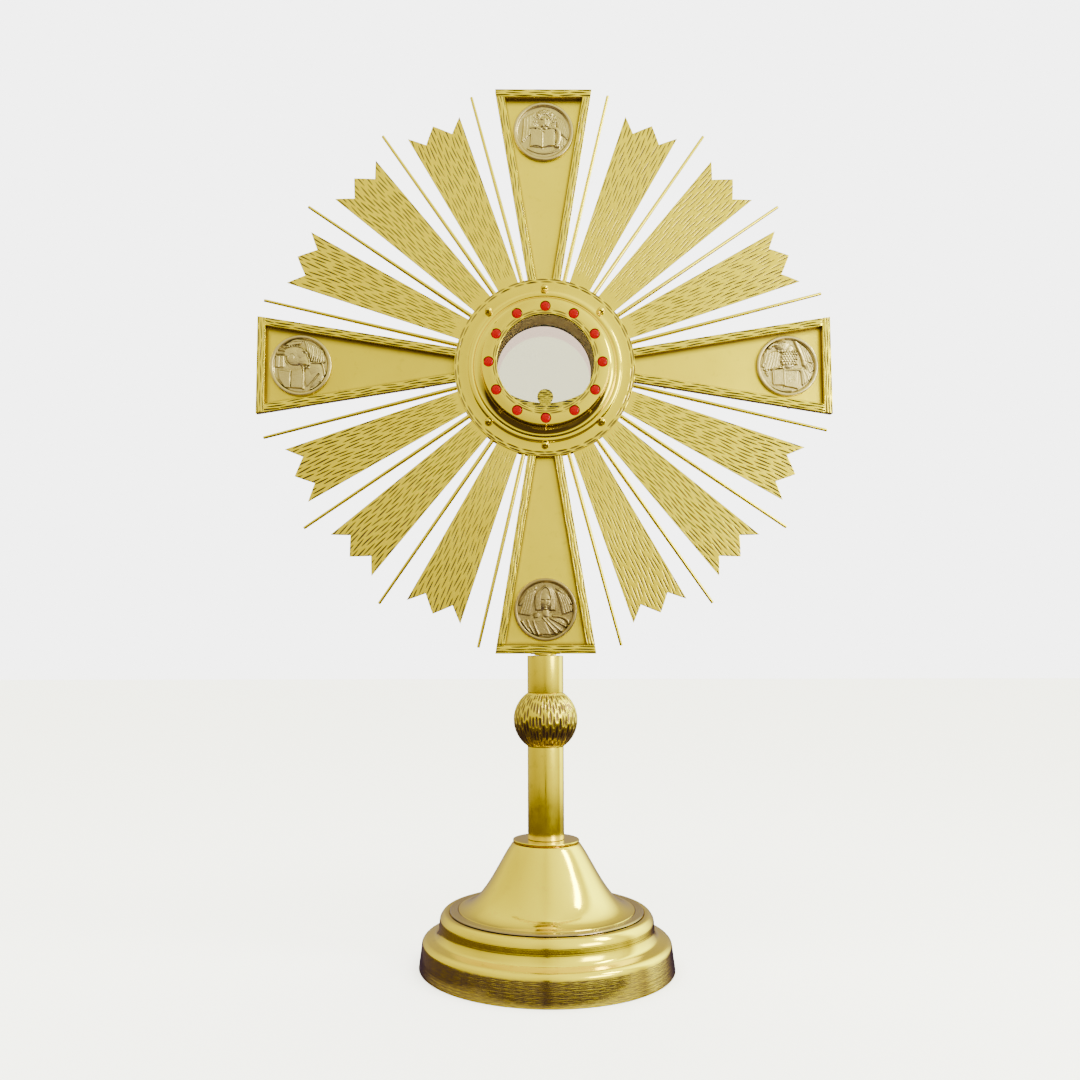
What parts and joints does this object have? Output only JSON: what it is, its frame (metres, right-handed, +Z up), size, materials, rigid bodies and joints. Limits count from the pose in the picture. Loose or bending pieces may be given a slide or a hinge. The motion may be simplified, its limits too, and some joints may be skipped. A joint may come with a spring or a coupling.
{
  "type": "monstrance",
  "caption": "Standing sunburst display vessel: round glazed case with a rear door and crescent clip, cross arms, cut rays and thin rods, on a knopped stem and turned foot.",
  "frame": {"origin": "centre of the foot at table level", "axes": "+Z up the stem, -Y out of the front of the case, +X to the right as seen from the front"},
  "size_m": [0.4672, 0.1996, 0.71],
  "materials": {
    "polished_brass": "spun and polished, lacquered",
    "satin_brass": "fine satin, lacquered",
    "cut_brass": "bright cut strokes over satin",
    "shaded_brass": "dull, darkened",
    "pale_metal": "pale cast relief, darkened hollows",
    "steel": "plain",
    "red_glass": "polished cabochon",
    "clear_glass": "clear flat pane"
  },
  "bodies": {
    "stand": {"foot_skirt": "polished_brass", "foot_cone": "polished_brass", "foot_cap_disc": "polished_brass", "stem_lower_tube": "polished_brass", "stem_knop": "cut_brass", "stem_upper_tube": "polished_brass", "tie_rod": "steel", "tie_nut": "steel", "head_socket": "satin_brass", "luna_front_cover": "polished_brass", "luna_bezel": "polished_brass", "stone_ring": "red_glass", "front_glass": "clear_glass", "hub_ring": "satin_brass", "luna_liner": "shaded_brass", "luna_rear_cover": "polished_brass", "door_hinge_pin": "steel", "arm_plate_top": "satin_brass", "arm_border_top": "cut_brass", "medallion_top": "pale_metal", "arm_plate_right": "satin_brass", "arm_border_right": "cut_brass", "medallion_right": "pale_metal", "arm_plate_bottom": "satin_brass", "arm_border_bottom": "cut_brass", "medallion_bottom": "pale_metal", "arm_plate_left": "satin_brass", "arm_border_left": "cut_brass", "medallion_left": "pale_metal", "ray_plate_01": "cut_brass", "ray_plate_02": "cut_brass", "ray_plate_03": "cut_brass", "ray_plate_04": "cut_brass", "ray_plate_05": "cut_brass", "ray_plate_06": "cut_brass", "ray_plate_07": "cut_brass", "ray_plate_08": "cut_brass", "ray_plate_09": "cut_brass", "ray_plate_10": "cut_brass", "ray_plate_11": "cut_brass", "ray_plate_12": "cut_brass", "ray_rod_01": "polished_brass", "ray_rod_02": "polished_brass", "ray_rod_03": "polished_brass", "ray_rod_04": "polished_brass", "ray_rod_05": "polished_brass", "ray_rod_06": "polished_brass", "ray_rod_07": "polished_brass", "ray_rod_08": "polished_brass", "ray_rod_09": "polished_brass", "ray_rod_10": "polished_brass", "ray_rod_11": "polished_brass", "ray_rod_12": "polished_brass", "ray_rod_13": "polished_brass", "ray_rod_14": "polished_brass", "ray_rod_15": "polished_brass", "ray_rod_16": "polished_brass"},
    "door": {"door_frame": "polished_brass", "door_glass": "clear_glass"},
    "lunula": {"lunula": "cut_brass"}
  },
  "joints": [
    {"name": "door_hinge", "type": "hinge", "parent": "stand", "child": "door", "pos_m": [0.0515, 0.0041, 0.4743], "axis": [0, 0, -1], "range_deg": [0, 120]},
    {"name": "lunula_slide", "type": "slide", "parent": "stand", "child": "lunula", "axis": [0, 1, 0], "range_m": [0, 0.016]}
  ]
}
